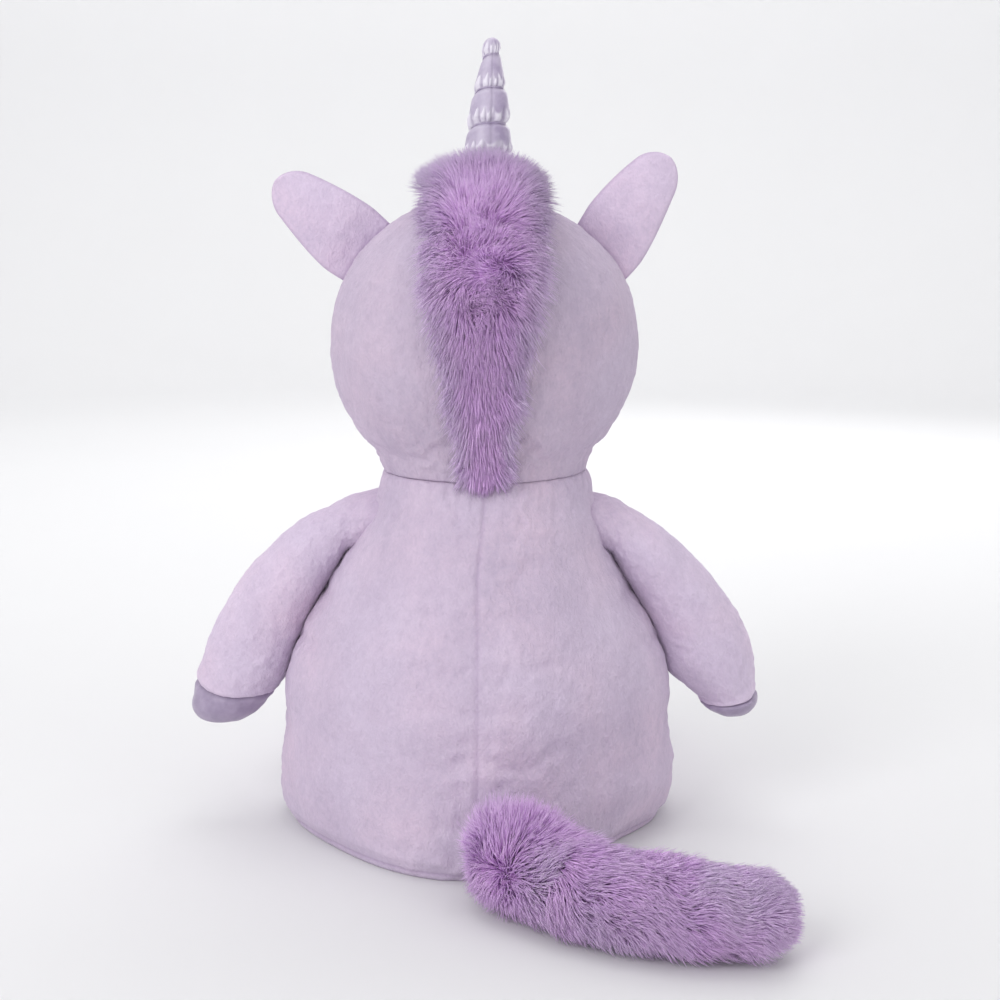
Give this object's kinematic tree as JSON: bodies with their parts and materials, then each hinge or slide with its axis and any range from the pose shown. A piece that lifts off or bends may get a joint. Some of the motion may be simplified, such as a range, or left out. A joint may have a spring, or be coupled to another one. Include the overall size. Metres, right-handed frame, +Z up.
{
  "type": "plush unicorn",
  "caption": "Seated plush unicorn with a flat base, round head, satin horn and hooves, fur mane and floor-lying fur tail; head, ears, limbs and tail move.",
  "frame": {"origin": "middle of the flat base, on the surface the toy sits on", "axes": "+Z up, the toy faces -Y, its left side is +X"},
  "size_m": [0.2883, 0.3229, 0.3855],
  "materials": {
    "lilac_plush": "short-pile plush, matte",
    "lilac_fur": "long-pile fur, matte",
    "lilac_satin": "satin",
    "polyester_stuffing": "loose white fibre, matte",
    "pellet_cloth": "plain woven cloth, matte",
    "eye_plastic": "gloss",
    "washer_plastic": "matte",
    "purple_thread": "embroidery thread, satin"
  },
  "bodies": {
    "torso": {"torso_back_left": "lilac_plush", "torso_back_right": "lilac_plush", "torso_belly": "lilac_plush", "torso_stuffing": "polyester_stuffing", "pellet_bag": "pellet_cloth", "base_panel": "lilac_plush"},
    "head": {"head_left": "lilac_plush", "head_right": "lilac_plush", "face_panel": "lilac_plush", "head_stuffing": "polyester_stuffing", "eye_left": "eye_plastic", "eye_right": "eye_plastic", "eye_washer_left": "washer_plastic", "eye_washer_right": "washer_plastic", "muzzle_skin": "lilac_plush", "muzzle_stuffing": "polyester_stuffing", "nostril_left": "purple_thread", "nostril_right": "purple_thread", "smile_stitch": "purple_thread", "mane_fur": "lilac_fur", "horn_skin": "lilac_satin", "horn_stuffing": "polyester_stuffing", "horn_thread": "purple_thread"},
    "tail": {"tail_fur": "lilac_fur", "tail_stuffing": "polyester_stuffing"},
    "ear_left": {"ear_back_left": "lilac_plush", "ear_lining_left": "lilac_satin"},
    "arm_left": {"arm_sleeve_left": "lilac_plush", "arm_hoof_left": "lilac_satin", "arm_stuffing_left": "polyester_stuffing"},
    "leg_left": {"leg_sleeve_left": "lilac_plush", "leg_hoof_left": "lilac_satin", "leg_stuffing_left": "polyester_stuffing"},
    "ear_right": {"ear_back_right": "lilac_plush", "ear_lining_right": "lilac_satin"},
    "arm_right": {"arm_sleeve_right": "lilac_plush", "arm_hoof_right": "lilac_satin", "arm_stuffing_right": "polyester_stuffing"},
    "leg_right": {"leg_sleeve_right": "lilac_plush", "leg_hoof_right": "lilac_satin", "leg_stuffing_right": "polyester_stuffing"}
  },
  "joints": [
    {"name": "head_turn", "type": "hinge", "parent": "torso", "child": "head", "pos_m": [0, 0, 0.172], "axis": [0, 0, 1], "range_deg": [-25, 25], "stiffness_Nm_per_rad": 0.3},
    {"name": "ear_flop_left", "type": "hinge", "parent": "head", "child": "ear_left", "pos_m": [0.06066, -0.008, 0.28474], "axis": [-0.5736, 0, 0.8192], "range_deg": [-30, 30], "stiffness_Nm_per_rad": 0.03},
    {"name": "ear_flop_right", "type": "hinge", "parent": "head", "child": "ear_right", "pos_m": [-0.06009, -0.008, 0.2854], "axis": [0.7314, 0, 0.682], "range_deg": [-30, 30], "stiffness_Nm_per_rad": 0.03},
    {"name": "arm_lift_left", "type": "hinge", "parent": "torso", "child": "arm_left", "pos_m": [0.05961, -0.002, 0.16142], "axis": [0, -1, 0], "range_deg": [0, 75]},
    {"name": "arm_lift_right", "type": "hinge", "parent": "torso", "child": "arm_right", "pos_m": [-0.05961, -0.002, 0.16142], "axis": [0, 1, 0], "range_deg": [0, 75]},
    {"name": "leg_lift_left", "type": "hinge", "parent": "torso", "child": "leg_left", "pos_m": [0.04729, -0.0778, 0.04652], "axis": [-0.9074, -0.4202, 0], "range_deg": [0, 45]},
    {"name": "leg_lift_right", "type": "hinge", "parent": "torso", "child": "leg_right", "pos_m": [-0.04729, -0.0778, 0.04652], "axis": [-0.9074, 0.4202, 0], "range_deg": [0, 45]},
    {"name": "tail_sway", "type": "hinge", "parent": "torso", "child": "tail", "pos_m": [0, 0.09362, 0.018], "axis": [0, 0, 1], "range_deg": [-85, 8]}
  ]
}
